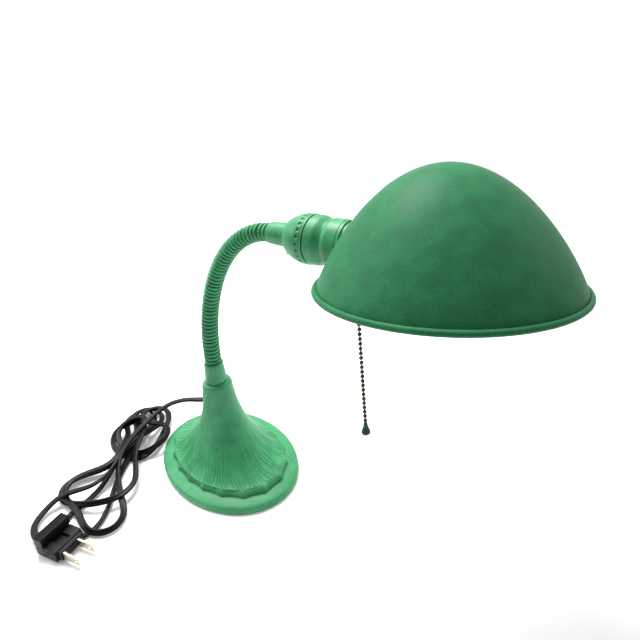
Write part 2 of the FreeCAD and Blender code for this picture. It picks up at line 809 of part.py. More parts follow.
def shade_shell():
    radius = size("shade_radius")
    wall = size("shade_wall")
    outer = dome_solid(radius, size("shade_depth"), 0)
    inner = dome_solid(radius - wall, size("shade_depth") - wall, -3)
    bead = Part.makeTorus(radius - wall + 0.4, size("rim_bead_radius"), Vector(), Z_AXIS)
    return outer.cut(inner).fuse(bead)


def build_shade():
    frame = shade_frame()
    hole = cylinder(size("collar_radius"), on_socket_axis(30), on_socket_axis(100))
    hole.Placement = frame.inverse().multiply(hole.Placement)
    shaped("shade", shade_shell().cut(hole), frame)
    turned_body("shade_collar", [
        ("shell_radius + fit_gap", "collar_start"),
        ("collar_radius", "collar_start"),
        ("collar_radius", "collar_end"),
        ("shell_radius + fit_gap", "collar_end"),
    ], HEAD_FRAME)


# ---- supply cord and plug ------------------------------------------------------------

def hank_solid():
    """The wound and wrapped cord as one closed solid, lying on the floor."""
    wires = []
    first, last = HANK_SECTIONS[0], HANK_SECTIONS[-1]
    lay = Vector(last[0] - first[0], last[1] - first[1], 0).normalize()
    across = Vector(-lay.y, lay.x, 0)
    for x, y, half_width, height in HANK_SECTIONS:
        ellipse = Part.Ellipse(Vector(), half_width, height / 2)
        wire = Part.Wire([ellipse.toShape()])
        turn = Rotation(across, Z_AXIS, lay, "XYZ")
        wire.Placement = Placement(Vector(x, y, height / 2 + 0.2), turn)
        wires.append(wire)
    return Part.makeLoft(wires, True, False)


def build_cord():
    inner = size("bushing_inner")
    height = size("cord_exit_height")
    pipe_end = size("cone_top") + size("ferrule_length") - 7
    lead_in = tube("supply_lead", [(-inner, 0, height), (-9, 0, height + 0.3), (-2.6, 0, height + 4.5),
                                   (-0.2, 0.1, height + 13), (0, 0, height + 24), (0, 0.1, height + 42),
                                   (0, 0, pipe_end)], size("lead_radius"))
    shaped("supply_lead", lead_in, EXIT_FRAME)
    radius = size("cord_width") / 2
    hank = hank_solid()
    lead_start = tuple(EXIT_FRAME.multVec(Vector(6 - size("bushing_outer"), 0, height)))
    lead = tube("cord_lead", [lead_start] + LEAD_ROUTE, radius)
    shaped("cord_lead", lead.cut(hank))
    shaped("cord_hank", hank)
    tail = tube("cord_tail", TAIL_ROUTE, radius)
    shaped("cord_tail", tail.cut(hank))


def plug_blades():
    """Two flat blades side by side, each with its hole near the tip."""
    half = size("blade_thickness") / 2
    nose = 12.0
    tip = nose + size("blade_length")
    middle = size("plug_bottom") + (size("plug_top") - size("plug_bottom")) / 2
    blades = []
    for side in (-size("blade_spacing") / 2, size("blade_spacing") / 2):
        blade = box((nose - 7, side - half, middle - size("blade_width") / 2),
                    (tip, side + half, middle + size("blade_width") / 2))
        hole = cylinder(1.6, (tip - 4.5, side - 2, middle), (tip - 4.5, side + 2, middle))
        blades.append(blade.cut(hole))
    return Part.makeCompound(blades)


def build_plug():
    frame = Placement(Vector(size("plug_x"), size("plug_y"), 0), Rotation(Z_AXIS, size("plug_turn")))
    back, low_side, high_side = -size("plug_back"), -size("plug_low_side"), size("plug_high_side")
    bottom, top = size("plug_bottom"), size("plug_top")
    body = box((back, low_side, bottom), (8, high_side, top))
    body = body.makeFillet(1.2, body.Edges)
    body = body.fuse(box((6, low_side + 2, bottom + 1), (12, high_side - 2.5, top - 0.8)))
    side, height = size("plug_cord_side"), size("plug_cord_height")
    cord_way = cylinder(size("cord_width") / 2 + size("fit_gap"), (back - 9, side, height),
                        (back + 5.6, side, height))
    pair = plug_blades()
    shaped("plug_body", body.cut([cord_way, pair]), frame)
    cover = box((back, low_side, top + 0.05), (back + 9, high_side + 1, top + 7.5))
    cover = cover.makeFillet(1.0, cover.Edges)
    shaped("plug_cover", cover, frame)
    shaped("plug_blades", pair, frame)


def check_document():
    for item in doc.Objects:
        if "Invalid" in item.State or "Error" in item.State:
            raise RuntimeError(f"{item.Label} is {item.State}")
    for item in sub_parts:
        if item.Shape.isNull() or not item.Shape.isValid():
            raise RuntimeError(f"{item.Label} has no valid shape")


build_base()
build_neck()
build_socket()
build_switch()
build_chain()
build_shade()
build_cord()
build_plug()
doc.recompute()
check_document()

os.makedirs("parts", exist_ok=True)
for item in sub_parts:
    item.Shape.exportStep(f"parts/{item.Label}.step")
    print(f"{item.Label}: {item.Shape.Volume:.0f} mm3, {len(item.Shape.Solids)} solid")
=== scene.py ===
"""Looks of the gooseneck desk lamp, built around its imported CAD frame.  Metres."""

import math

import bmesh
import bpy
from mathutils import Matrix, Vector


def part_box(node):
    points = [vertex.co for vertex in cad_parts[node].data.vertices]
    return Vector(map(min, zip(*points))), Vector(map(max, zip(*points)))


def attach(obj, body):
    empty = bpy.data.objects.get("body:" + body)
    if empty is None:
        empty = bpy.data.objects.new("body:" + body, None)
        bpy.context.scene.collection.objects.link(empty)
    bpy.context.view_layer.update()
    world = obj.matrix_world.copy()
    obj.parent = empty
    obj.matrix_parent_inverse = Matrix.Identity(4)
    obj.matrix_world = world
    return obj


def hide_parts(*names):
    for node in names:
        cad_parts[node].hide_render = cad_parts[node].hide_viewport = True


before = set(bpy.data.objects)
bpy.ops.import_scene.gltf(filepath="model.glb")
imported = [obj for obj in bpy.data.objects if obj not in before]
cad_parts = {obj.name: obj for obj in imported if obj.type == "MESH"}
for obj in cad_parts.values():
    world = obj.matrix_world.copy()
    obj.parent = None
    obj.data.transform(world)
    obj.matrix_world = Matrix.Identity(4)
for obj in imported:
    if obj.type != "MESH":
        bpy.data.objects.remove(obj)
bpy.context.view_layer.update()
MM = 0.001

# Driving sizes of the CAD model, in millimetres.
BASE_TURN = -13.5
CONE_TOP = 91.0
FERRULE_LENGTH = 20.0
NECK_LENGTH = 170.0
LINK_RIBS = [6, 5, 4, 4, 3, 3, 3, 3, 2, 2, 2, 2, 2, 2, 2]
CORD_THICK = 2.7
PLUG_PLACE = (-60.0, -130.0)
PLUG_TURN = 4.0
CHAIN_AT = 70.5
CHAIN_HOLE_RADIUS = 3.25

# A neck link's spigot fits the socket in the foot of the next link, in millimetres.
LINK_GAP = 0.9
SPIGOT_RADIUS = 4.2
SPIGOT_BORE = 3.3
SPIGOT_REACH = 1.5
SOCKET_BORE = 5.15
SOCKET_DEPTH = 2.5


# ---- camera and light ----------------------------------------------------------------

def add_camera():
    """The camera, above the lamp and to its side, with a shifted frame."""
    data = bpy.data.cameras.new("camera")
    data.sensor_width = 36.0
    data.lens = 30.55
    data.shift_x = -0.102
    data.shift_y = -0.155
    data.clip_start = 0.01
    camera = bpy.data.objects.new("camera", data)
    bpy.context.scene.collection.objects.link(camera)
    turn = (Matrix.Rotation(math.radians(26.92), 4, "Z")
            @ Matrix.Rotation(math.radians(90 - 20.04), 4, "X")
            @ Matrix.Rotation(math.radians(-2.51), 4, "Z"))
    camera.matrix_world = Matrix.Translation((0.3269, -0.2956, 0.3858)) @ turn
    bpy.context.scene.camera = camera


def add_light(name, place, target, size, power):
    """A soft round light at a place, turned to face its target."""
    data = bpy.data.lights.new(name, "AREA")
    data.shape = "DISK"
    data.size = size
    data.energy = power
    lamp = bpy.data.objects.new(name, data)
    bpy.context.scene.collection.objects.link(lamp)
    lamp.location = place
    lamp.rotation_euler = (Vector(target) - Vector(place)).to_track_quat("-Z", "Y").to_euler()


def add_studio():
    """World, three lights and a pale floor sheet."""
    scene = bpy.context.scene
    scene.view_settings.view_transform = "Standard"
    add_world(scene)
    add_light("key", (-0.42, 0.30, 1.3), (0.10, -0.02, 0.15), 0.7, 24)
    add_light("left", (-1.15, -0.30, 0.9), (0.0, 0.0, 0.12), 0.6, 5)
    add_light("right_edge", (1.15, 0.75, 0.75), (0.2, 0.0, 0.25), 0.4, 2.0)
    floor = new_mesh("floor", *grid_sheet(0.85, 24))
    floor.data.materials.append(floor_material())


def add_world(scene):
    """A studio's white sweep behind the lamp, falling off to a dim front."""
    world = bpy.data.worlds.new("studio")
    scene.world = world
    world.use_nodes = True
    tree = world.node_tree
    place = add_node(tree, "ShaderNodeTexCoord")
    facing = add_node(tree, "ShaderNodeVectorMath", operation="DOT_PRODUCT")
    facing.inputs[1].default_value = (-0.40, 0.79, 0.46)
    tree.links.new(place.outputs["Generated"], facing.inputs[0])
    share = add_node(tree, "ShaderNodeMath", operation="MULTIPLY_ADD")
    share.inputs[1].default_value = 0.5
    share.inputs[2].default_value = 0.5
    tree.links.new(facing.outputs["Value"], share.inputs[0])
    greys = ((0.0, 0.12), (0.45, 0.2), (0.62, 0.6), (0.75, 0.98))
    glow = ramp(tree, share.outputs[0], [(place, (grey,) * 3) for place, grey in greys])
    sky = tree.nodes["Background"]
    tree.links.new(glow, sky.inputs["Color"])
    sky.inputs["Strength"].default_value = 1.05


def grid_sheet(half, steps):
    """A flat square sheet of quads about the origin."""
    vertices = []
    for row in range(steps + 1):
        for column in range(steps + 1):
            vertices.append(((column / steps - 0.5) * 2 * half, (row / steps - 0.5) * 2 * half, 0))
    wide = steps + 1
    faces = [(row * wide + column, row * wide + column + 1,
              (row + 1) * wide + column + 1, (row + 1) * wide + column)
             for row in range(steps) for column in range(steps)]
    return vertices, faces


# ---- mesh helpers --------------------------------------------------------------------

def new_mesh(name, vertices, faces):
    """An object in the scene made from vertices and faces."""
    mesh = bpy.data.meshes.new(name)
    mesh.from_pydata([tuple(vertex) for vertex in vertices], [], faces)
    mesh.validate()
    mesh.update()
    piece = bpy.data.objects.new(name, mesh)
    bpy.context.scene.collection.objects.link(piece)
    return piece


def stitched_rings(rings, looped=False):
    """Quads between rings of equal count; the last ring joins the first, or fans close the ends."""
    count = len(rings[0])
    vertices = [point for ring in rings for point in ring]
    faces = []
    last = len(rings) if looped else len(rings) - 1
    for row in range(last):
        below, above = row * count, (row + 1) % len(rings) * count
        for step in range(count):
            after = (step + 1) % count
            faces.append((below + step, below + after, above + after, above + step))
    if not looped:
        for row, order in ((0, -1), (len(rings) - 1, 1)):
            middle = sum((Vector(point) for point in rings[row]), Vector()) / count
            vertices.append(middle)
            hub = len(vertices) - 1
            for step in range(count):
                edge = (row * count + step, row * count + (step + 1) % count)
                faces.append((hub, *(edge if order > 0 else edge[::-1])))
    return vertices, faces


def turned(name, profile, place, segments, looped=True):
    """A piece turned about its own Z from (radius, height) points in millimetres."""
    rings = []
    for radius, height in profile:
        ring = []
        for step in range(segments):
            angle = 2 * math.pi * step / segments
            ring.append(place @ Vector((radius * math.cos(angle) * MM,
                                        radius * math.sin(angle) * MM, height * MM)))
        rings.append(ring)
    return new_mesh(name, *stitched_rings(rings, looped))


def sharp_shading(piece, degrees):
    """Smooth faces with edges above the angle kept sharp."""
    mesh = piece.data
    mesh.shade_smooth()
    mesh.set_sharp_from_angle(angle=math.radians(degrees))
    return piece


def finish_piece(piece, material, body, slot, *nodes):
    """Gives a piece its finish and the body it rides, and hides the nodes it stands for. The slot
    argument is not used.
    """
    piece.data.materials.clear()
    piece.data.materials.append(MATERIALS[material])
    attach(piece, body)
    if nodes:
        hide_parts(*nodes)


def curve_through(points, steps):
    """Points of a smooth curve through (radius, height) knots, Catmull-Rom."""
    padded = [points[0], *points, points[-1]]
    out = []
    for index in range(len(points) - 1):
        before, start, end, after = padded[index:index + 4]
        for step in range(steps):
            t = step / steps
            out.append(tuple(
                0.5 * (2 * b + (c - a) * t + (2 * a - 5 * b + 4 * c - d) * t * t
                       + (3 * b - a - 3 * c + d) * t ** 3)
                for a, b, c, d in zip(before, start, end, after)))
    out.append(points[-1])
    return out


# ---- materials -----------------------------------------------------------------------

def new_material(name, color, roughness, metallic=0.0, specular=0.5):
    """A plain material, with its node tree and its shader."""
    material = bpy.data.materials.new(name)
    material.use_nodes = True
    shader = material.node_tree.nodes["Principled BSDF"]
    shader.inputs["Base Color"].default_value = (*color, 1)
    shader.inputs["Roughness"].default_value = roughness
    shader.inputs["Metallic"].default_value = metallic
    shader.inputs["Specular IOR Level"].default_value = specular
    return material, material.node_tree, shader


def add_node(tree, kind, **values):
    """A shader node with its inputs or settings filled in by name."""
    node = tree.nodes.new(kind)
    for name, value in values.items():
        if name in node.inputs:
            node.inputs[name].default_value = value
        else:
            setattr(node, name, value)
    return node


def noise_field(tree, scale, detail=3.0):
    """Noise fixed to the object's own coordinates."""
    place = add_node(tree, "ShaderNodeTexCoord")
    field = add_node(tree, "ShaderNodeTexNoise", Scale=scale, Detail=detail)
    tree.links.new(place.outputs["Object"], field.inputs["Vector"])
    return field.outputs["Fac"]


def ramp(tree, source, stops):
    """Colour by a source value, from (place, colour) stops."""
    node = tree.nodes.new("ShaderNodeValToRGB")
    ramp_data = node.color_ramp
    while len(ramp_data.elements) < len(stops):
        ramp_data.elements.new(0.5)
    for element, (place, color) in zip(ramp_data.elements, stops):
        element.position = place
        element.color = (*color, 1)
    tree.links.new(source, node.inputs["Fac"])
    return node.outputs["Color"]


def bump(tree, shader, source, strength, distance):
    """Fine relief on a shader from a height source."""
    node = add_node(tree, "ShaderNodeBump", Strength=strength, Distance=distance)
    tree.links.new(source, node.inputs["Height"])
    tree.links.new(node.outputs["Normal"], shader.inputs["Normal"])


def shade_of(color, factor):
    """A colour made darker or lighter by a factor."""
    return tuple(min(channel * factor, 1.0) for channel in color)


def painted(name, color, roughness, peel_scale, peel_depth, grain, pooling=0.8, gloss_share=1.0):
    """Sprayed enamel: mottled colour, orange-peel bump and a patchy gloss."""
    material, tree, shader = new_material(name, color, roughness, specular=0.3 * gloss_share)
    patches = noise_field(tree, 90.0, 4.0)
    peel = noise_field(tree, peel_scale, 2.0)
    mixed = add_node(tree, "ShaderNodeMath", operation="ADD")
    tree.links.new(patches, mixed.inputs[0])
    scaled = add_node(tree, "ShaderNodeMath", operation="MULTIPLY")
    scaled.inputs[1].default_value = grain
    tree.links.new(peel, scaled.inputs[0])
    tree.links.new(scaled.outputs[0], mixed.inputs[1])
    low = 0.35 + 0.3 * grain
    high = 0.65 + 0.7 * grain
    colors = ramp(tree, mixed.outputs[0], [
        (low, shade_of(color, pooling)),
        ((low + high) / 2, color),
        (high, shade_of(color, 1.18)),
    ])
    tree.links.new(colors, shader.inputs["Base Color"])
    gloss = ramp(tree, patches, [(0.3, (roughness - 0.06,) * 3), (0.7, (roughness + 0.08,) * 3)])
    tree.links.new(gloss, shader.inputs["Roughness"])
    bump(tree, shader, peel, 0.55, peel_depth * MM)
    shader.inputs["Coat Weight"].default_value = 0.08 * gloss_share
    shader.inputs["Coat Roughness"].default_value = 0.3
    return material


def moulded(name, color, roughness, grain_scale, depth):
    """Moulded plastic or rubber with a faint grain."""
    material, tree, shader = new_material(name, color, roughness, specular=0.2)
    grain = noise_field(tree, grain_scale, 4.0)
    tint = ramp(tree, grain, [(0.3, shade_of(color, 0.7)), (0.55, color),
                              (0.8, shade_of(color, 1.6))])
    tree.links.new(tint, shader.inputs["Base Color"])
    bump(tree, shader, grain, 0.4, depth * MM)
    return material


def brushed(name, color, roughness, grain_scale):
    """Turned or stamped metal with a stretched grain and dull patches."""
    material, tree, shader = new_material(name, color, roughness, metallic=1.0)
    place = add_node(tree, "ShaderNodeTexCoord")
    stretch = tree.nodes.new("ShaderNodeMapping")
    stretch.inputs["Scale"].default_value = (1.0, 1.0, 14.0)
    tree.links.new(place.outputs["Object"], stretch.inputs["Vector"])
    lines = add_node(tree, "ShaderNodeTexNoise", Scale=grain_scale, Detail=4.0)
    tree.links.new(stretch.outputs["Vector"], lines.inputs["Vector"])
    patches = noise_field(tree, 210.0, 3.0)
    tint = ramp(tree, patches, [(0.35, shade_of(color, 0.72)), (0.6, color)])
    tree.links.new(tint, shader.inputs["Base Color"])
    gloss = ramp(tree, lines.outputs["Fac"],
                 [(0.3, (roughness - 0.1,) * 3), (0.7, (roughness + 0.12,) * 3)])
    tree.links.new(gloss, shader.inputs["Roughness"])
    bump(tree, shader, lines.outputs["Fac"], 0.25, 0.03 * MM)
    return material


def woven(name, color, roughness, fibre_scale, depth):
    """Felt or pressed fibre: fine fuzzy speckle."""
    material, tree, shader = new_material(name, color, roughness, specular=0.15)
    fibres = noise_field(tree, fibre_scale, 8.0)
    tint = ramp(tree, fibres, [(0.3, shade_of(color, 0.55)), (0.5, color),
                               (0.75, shade_of(color, 1.5))])
    tree.links.new(tint, shader.inputs["Base Color"])
    bump(tree, shader, fibres, 0.8, depth * MM)
    shader.inputs["Sheen Weight"].default_value = 0.3
    return material


def floor_material():
    """A pale matt sheet with a faint glow of its own."""
    material, tree, shader = new_material("studio_floor", (0.93, 0.93, 0.93), 0.7, specular=0.2)
    tone = ramp(tree, noise_field(tree, 3.0), [(0.3, (0.92, 0.92, 0.925)),
                                               (0.7, (0.94, 0.94, 0.94))])
    tree.links.new(tone, shader.inputs["Base Color"])
    shader.inputs["Emission Color"].default_value = (1, 1, 1, 1)
    shader.inputs["Emission Strength"].default_value = 0.14
    return material


GREEN = (0.046, 0.300, 0.122)
MATERIALS = {
    "green_cast": painted("green_cast", GREEN, 0.46, 900.0, 0.16, grain=0.35),
    "green_enamel": painted("green_enamel", GREEN, 0.42, 1100.0, 0.08, grain=0.25),
    "green_neck": painted("green_neck", shade_of(GREEN, 0.92), 0.42, 1300.0, 0.06, grain=0.2),
    # The lampshade's enamel is darkened to 0.56 of the base's green. This is painted shade for the
    # dome's dim faces; the real paint is the same green as the base.
    "green_shade": painted("green_shade", shade_of(GREEN, 0.56), 0.5, 1250.0, 0.3, grain=0.9,
                           pooling=0.9, gloss_share=0.3),
    "felt": woven("felt_green", (0.02, 0.05, 0.03), 0.95, 2200.0, 0.3),
    "zinc_steel": brushed("zinc_steel", (0.55, 0.56, 0.57), 0.38, 260.0),
    "black_rubber": moulded("black_rubber", (0.012, 0.012, 0.013), 0.5, 1400.0, 0.05),
    "cord_black": moulded("cord_black", (0.0025, 0.0025, 0.003), 0.42, 700.0, 0.05),
    "plug_plastic": moulded("plug_plastic", (0.0035, 0.0035, 0.004), 0.45, 1100.0, 0.06),
    "blade_metal": brushed("blade_metal", (0.72, 0.66, 0.52), 0.28, 320.0),
    "fibre_liner": woven("fibre_liner", (0.16, 0.10, 0.05), 0.9, 1500.0, 0.08),
    "phenolic": moulded("phenolic", (0.035, 0.018, 0.010), 0.35, 480.0, 0.04),
    "screw_brass": brushed("screw_brass", (0.78, 0.60, 0.28), 0.3, 300.0),
    "dark_brass": brushed("dark_brass", (0.10, 0.095, 0.06), 0.42, 500.0),
    "dark_enamel": painted("dark_enamel", (0.012, 0.060, 0.030), 0.35, 1400.0, 0.05, grain=0.2),
}


def paint_cad_nodes():
    """Every CAD node keeps its shape and gets the finish of its record slot."""
    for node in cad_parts.values():
        for place in node.material_slots:
            slot = place.material.name.split(".")[0]
            if slot in MATERIALS:
                place.material = MATERIALS[slot]
        sharp_shading(node, 30)


# ---- cord ----------------------------------------------------------------------------

# Control points of the cord's line, in millimetres: out of the base, over
# the hank, round its loops and wraps, and along the tail into the plug.
LEAD_ROUTE = [
    (-19.2, 21.7, 36.0), (-30.0, 34.0, 34.6), (-45.0, 39.5, 29.0), (-61.5, 32.5, 26.0),
    (-76.0, 25.0, 28.6), (-87.0, 13.0, 28.4), (-92.0, -1.0, 25.0), (-93.5, -15.0, 21.8),
    (-94.0, -28.0, 18.6),
]
FIRST_LOOP = [
    (-92.0, -41.0, 16.0), (-86.0, -53.0, 12.8), (-76.0, -63.0, 9.8), (-65.0, -71.0, 8.2),
    (-52.0, -79.0, 6.0), (-38.0, -87.0, 4.0), (-33.0, -101.0, 3.6), (-44.0, -112.0, 3.6),
    (-60.0, -111.0, 3.6), (-74.0, -104.0, 4.4), (-88.0, -101.0, 5.8), (-103.0, -99.0, 6.4),
    (-114.0, -86.0, 6.6), (-105.0, -71.0, 7.6), (-95.0, -61.0, 8.6), (-94.0, -49.0, 9.6),
    (-101.0, -37.0, 9.6), (-107.0, -27.0, 8.6), (-116.0, -18.0, 7.2), (-128.0, -12.0, 5.6),
    (-140.0, 2.0, 4.0), (-131.0, 19.0, 3.4), (-112.0, 14.0, 3.2), (-104.0, -2.0, 3.8),
    (-103.0, -16.0, 4.4),
]
SECOND_LOOP = [
    (-102.0, -30.0, 4.8), (-99.0, -43.0, 4.6), (-91.0, -57.0, 4.6), (-84.0, -71.0, 4.4),
    (-81.0, -84.0, 3.2), (-82.0, -98.0, 2.2), (-84.0, -114.0, 2.0), (-68.0, -126.0, 2.0),
    (-51.0, -117.0, 1.8), (-51.0, -101.0, 2.0), (-59.0, -88.0, 2.6), (-68.0, -76.0, 2.8),
    (-77.0, -64.0, 2.6), (-86.0, -50.0, 2.8), (-91.0, -36.0, 4.8), (-95.0, -23.0, 6.0),
    (-104.0, -10.0, 7.8), (-116.0, -4.0, 8.8), (-126.0, 8.0, 9.0), (-117.0, 24.0, 8.2),
    (-99.0, 21.0, 6.6), (-89.0, 7.0, 6.2), (-82.0, -5.0, 7.0),
]
WRAPS = [
    (-76.0, -16.0, 6.4), (-74.0, -31.0, 4.4), (-84.0, -41.0, 2.4), (-98.0, -39.0, 2.0),
    (-112.0, -38.0, 2.4), (-125.0, -32.0, 5.6), (-128.0, -18.0, 9.6), (-117.0, -6.0, 12.0),
    (-103.0, -6.0, 14.4), (-89.0, -3.0, 15.2), (-76.0, -1.0, 14.6), (-67.0, -13.0, 12.4),
    (-73.0, -29.0, 8.4), (-88.0, -34.0, 2.2), (-101.0, -33.0, 1.9), (-116.0, -32.0, 6.0),
    (-127.0, -20.0, 11.6), (-118.0, -6.0, 16.4),
]
THIRD_LOOP = [
    (-105.0, -3.0, 18.6), (-92.0, -16.0, 18.4), (-81.0, -39.0, 13.2), (-68.0, -50.0, 10.0),
    (-54.0, -61.0, 8.6), (-51.0, -77.0, 9.0), (-61.0, -90.0, 9.0), (-75.0, -97.0, 7.4),
    (-90.0, -100.0, 3.8), (-106.0, -101.0, 3.2), (-118.0, -88.0, 3.2), (-111.0, -73.0, 3.4),
    (-99.0, -64.0, 4.8), (-92.0, -52.0, 7.0), (-93.0, -39.0, 8.4), (-98.0, -25.0, 11.0),
    (-106.0, -14.0, 11.4), (-117.0, -8.0, 11.4), (-131.0, -1.0, 9.6), (-129.0, 18.0, 6.8),
    (-109.0, 20.0, 4.4), (-98.0, 7.0, 4.2), (-96.0, -6.0, 7.6), (-95.0, -18.0, 10.8),
    (-94.0, -30.0, 12.6),
]
TAIL_ROUTE = [
    (-91.0, -43.0, 13.0), (-86.0, -57.0, 12.2), (-82.0, -71.0, 10.4),
    (-85.0, -84.0, 10.2), (-94.0, -93.0, 10.6), (-103.0, -102.0, 8.8), (-106.0, -114.0, 3.6),
    (-100.0, -127.0, 4.4), (-88.0, -134.5, 7.0), (-75.0, -137.0, 8.0), (-66.0, -136.3, 8.0),
]


def cord_points():
    """The cord's control points from base to plug, in metres."""
    routes = LEAD_ROUTE + FIRST_LOOP + SECOND_LOOP + WRAPS + THIRD_LOOP + TAIL_ROUTE
    return [Vector(point) * MM for point in routes]


def smooth_route(points, name, resolution):
    """Points along the NURBS line of the route's control points."""
    data = bpy.data.curves.new(name, "CURVE")
    data.dimensions = "3D"
    data.resolution_u = resolution
    spline = data.splines.new("NURBS")
    spline.points.add(len(points) - 1)
    for control, point in zip(spline.points, points):
        control.co = (*point, 1)
    spline.order_u = 4
    spline.use_endpoint_u = True
    carrier = bpy.data.objects.new(name, data)
    bpy.context.scene.collection.objects.link(carrier)
    bpy.context.view_layer.update()
    line = bpy.data.meshes.new_from_object(carrier)
    path = [vertex.co.copy() for vertex in line.vertices]
    bpy.data.objects.remove(carrier)
    bpy.data.meshes.remove(line)
    return path


def twin_section():
    """Outline of the twin-conductor cord: two round lobes and the web between them."""
    lobe = CORD_THICK / 2
    steps = 9
    outline = []
    for side in (1, -1):
        for step in range(steps):
            angle = math.radians(-125 + 250 * step / (steps - 1))
            outline.append((side * (lobe + lobe * math.cos(angle)), side * lobe * math.sin(angle)))
    return outline


def flat_cord(path):
    """The flat cord swept along the path, rolling a little as it goes."""
    section = twin_section()
    rings = []
    length = 0.0
    count = len(path)
    for index, point in enumerate(path):
        before, after = path[max(index - 1, 0)], path[min(index + 1, count - 1)]
        way = (after - before).normalized()
        if index:
            length += (point - path[index - 1]).length
        wide = way.cross(Vector((0, 0, 1))).normalized()
        tall = wide.cross(way).normalized()
        # The roll fades out at both ends, and near the floor the cord's height limits it.
        fade = min(1.0, length / 0.03, (count - 1 - index) / 40)
        roll = fade * (0.5 * math.sin(length / 0.031) + 0.35 * math.sin(length / 0.0173 + 1.0))
        room = max(0.0, point.z / (CORD_THICK / 2 * MM) - 1.12)
        lean = min(room, abs(math.sin(roll)))
        roll = math.copysign(math.asin(min(lean, 1.0)), roll)
        across = wide * math.cos(roll) + tall * math.sin(roll)
        up = tall * math.cos(roll) - wide * math.sin(roll)
        rings.append([point + across * (x * MM) + up * (y * MM) for x, y in section])
    return stitched_rings(rings)


def build_cord():
    """The supply cord, with its path and length."""
    path = smooth_route(cord_points(), "cord_line", 10)
    cord = sharp_shading(new_mesh("supply_cord", *flat_cord(path)), 60)
    length = sum((b - a).length for a, b in zip(path, path[1:]))
    finish_piece(cord, "cord_black", "base", "cord_black", "cord_lead", "cord_hank", "cord_tail")
    return cord, path, length


# ---- base ----------------------------------------------------------------------------

PETALS = 18
GROOVES = 80
GROOVE_DEPTH = 0.62
RELIEF = (67.2, 43.1)
# Rings over the flange and in under it: half length, half width and height.
FLANGE = [
    (68.6, 44.4, 8.5), (71.0, 46.7, 7.9), (73.5, 49.1, 7.2), (75.5, 51.0, 6.5), (76.5, 52.0, 5.6),
    (76.95, 52.45, 4.8), (77.0, 52.5, 3.8), (77.0, 52.5, 0.9), (76.5, 52.0, 0.4), (73.0, 48.5, 0.4),
    (72.2, 47.7, 0.5), (72.1, 47.6, 1.6), (40.0, 24.0, 1.6),
]
# The scalloped step: half length, reach of a scallop's middle, height and rise.
SCALLOP_RINGS = [
    (65.6, -3.1, 13.8, 1.3), (67.0, -2.8, 12.6, 2.2), (67.2, -2.4, 11.6, 3.0),
    (67.4, -2.2, 8.8, 0.0),
]
BASE_WARP = 0.1
# Knots down the cone, in the same order.
CONE_KNOTS = [
    (9.3, 9.3, 91.0), (11.6, 11.6, 90.2), (12.9, 12.9, 87.5), (13.4, 13.2, 83.0),
    (14.4, 13.9, 76.0), (16.2, 15.0, 67.0), (19.6, 16.6, 58.0), (24.6, 19.2, 48.0),
    (31.0, 23.2, 38.0), (39.0, 28.4, 28.0), (47.5, 33.6, 21.0), (56.0, 38.2, 16.6),
    (62.5, 41.2, 14.8),
]


def petal_wave(angle):
    """0 at a cusp between two scallops and 1 in a scallop's middle."""
    return abs(math.sin(math.pi * (angle / (2 * math.pi) * PETALS + 0.5)))


def groove_cut(angle, reach):
    """Depth share of the fine wavy grooves raked out towards the rim, at a share of the radius."""
    wander = (0.35 * math.sin(9.0 * angle + 11.0 * reach)
              + 0.22 * math.sin(23.0 * angle - 7.0 * reach))
    turn = angle / (2 * math.pi) * GROOVES + wander
    index = math.floor(turn)
    start = 0.33 + 0.24 * (0.5 + 0.5 * math.sin(index * 2.4))
    if reach < start:
        return 0.0
    across = abs(turn - index - 0.5)
    return max(0.0, 1 - (across / 0.28) ** 2) * min((reach - start) / 0.12, 1.0)


def base_ring(half_length, half_width, surface, count):
    """An oval ring of points, moved outward and set in height by surface(angle)."""
    ring = []
    for step in range(count):
        angle = 2 * math.pi * step / count
        lean = angle + BASE_WARP * math.sin(2 * angle)
        out, height = surface(angle)
        ring.append(Vector(((half_length + out) * math.cos(lean),
                            (half_width + out) * math.sin(lean), height)))
    return ring


def build_base():
    """The cast base: fluted flaring cone, scalloped relief and the plain flange under it."""
    count = PETALS * 48
    turn = Matrix.Rotation(math.radians(BASE_TURN), 4, "Z")
    rings = []
    for half_length, half_width, height in curve_through(CONE_KNOTS, 5):
        reach = half_length / RELIEF[0]
        depth = GROOVE_DEPTH * min(1.0, (1.0 - reach) / 0.05)

        def grooved(angle, height=height, reach=reach, depth=depth):
            return 0.0, height - depth * groove_cut(angle, reach)
        rings.append(base_ring(half_length, half_width, grooved, count))
    for half_length, out, height, rise in SCALLOP_RINGS:
        half_width = half_length - RELIEF[0] + RELIEF[1]

        def scalloped(angle, out=out, height=height, rise=rise):
            wave = petal_wave(angle)
            return out * wave, height + rise * wave * 0.4
        rings.append(base_ring(half_length, half_width, scalloped, count))
    for half_length, half_width, height in FLANGE:
        rings.append(base_ring(half_length, half_width, lambda angle, h=height: (0.0, h), count))
    placed = [[turn @ (point * MM) for point in ring] for ring in rings]
    base = new_mesh("cast_base", *stitched_rings(placed))
    sharp_shading(base, 38)
    finish_piece(base, "green_cast", "base", "green_cast", "base_casting")


# ---- neck and ferrules ---------------------------------------------------------------

NECK_RIB = 7.2
NECK_CORE = 5.9
RIB_PITCH = NECK_LENGTH / sum(LINK_RIBS)


def neck_heading(share):
    """Degrees the neck leans from upright at a share of its length."""
    return 90 * (0.54 * share + 0.46 * share ** 4.4)


def link_frames():
    """Placement of each link, foot at the origin and running up Z, and the far end."""
    foot = Vector((0, 0, CONE_TOP + FERRULE_LENGTH))
    frames = []
    below = 0
    for ribs in LINK_RIBS:
        heading = math.radians(neck_heading((below + ribs / 2) / sum(LINK_RIBS)))
        frames.append(Matrix.Translation(foot * MM) @ Matrix.Rotation(heading, 4, "Y"))
        foot = foot + Vector((math.sin(heading), 0, math.cos(heading))) * (ribs * RIB_PITCH)
        below += ribs
    return frames, foot * MM


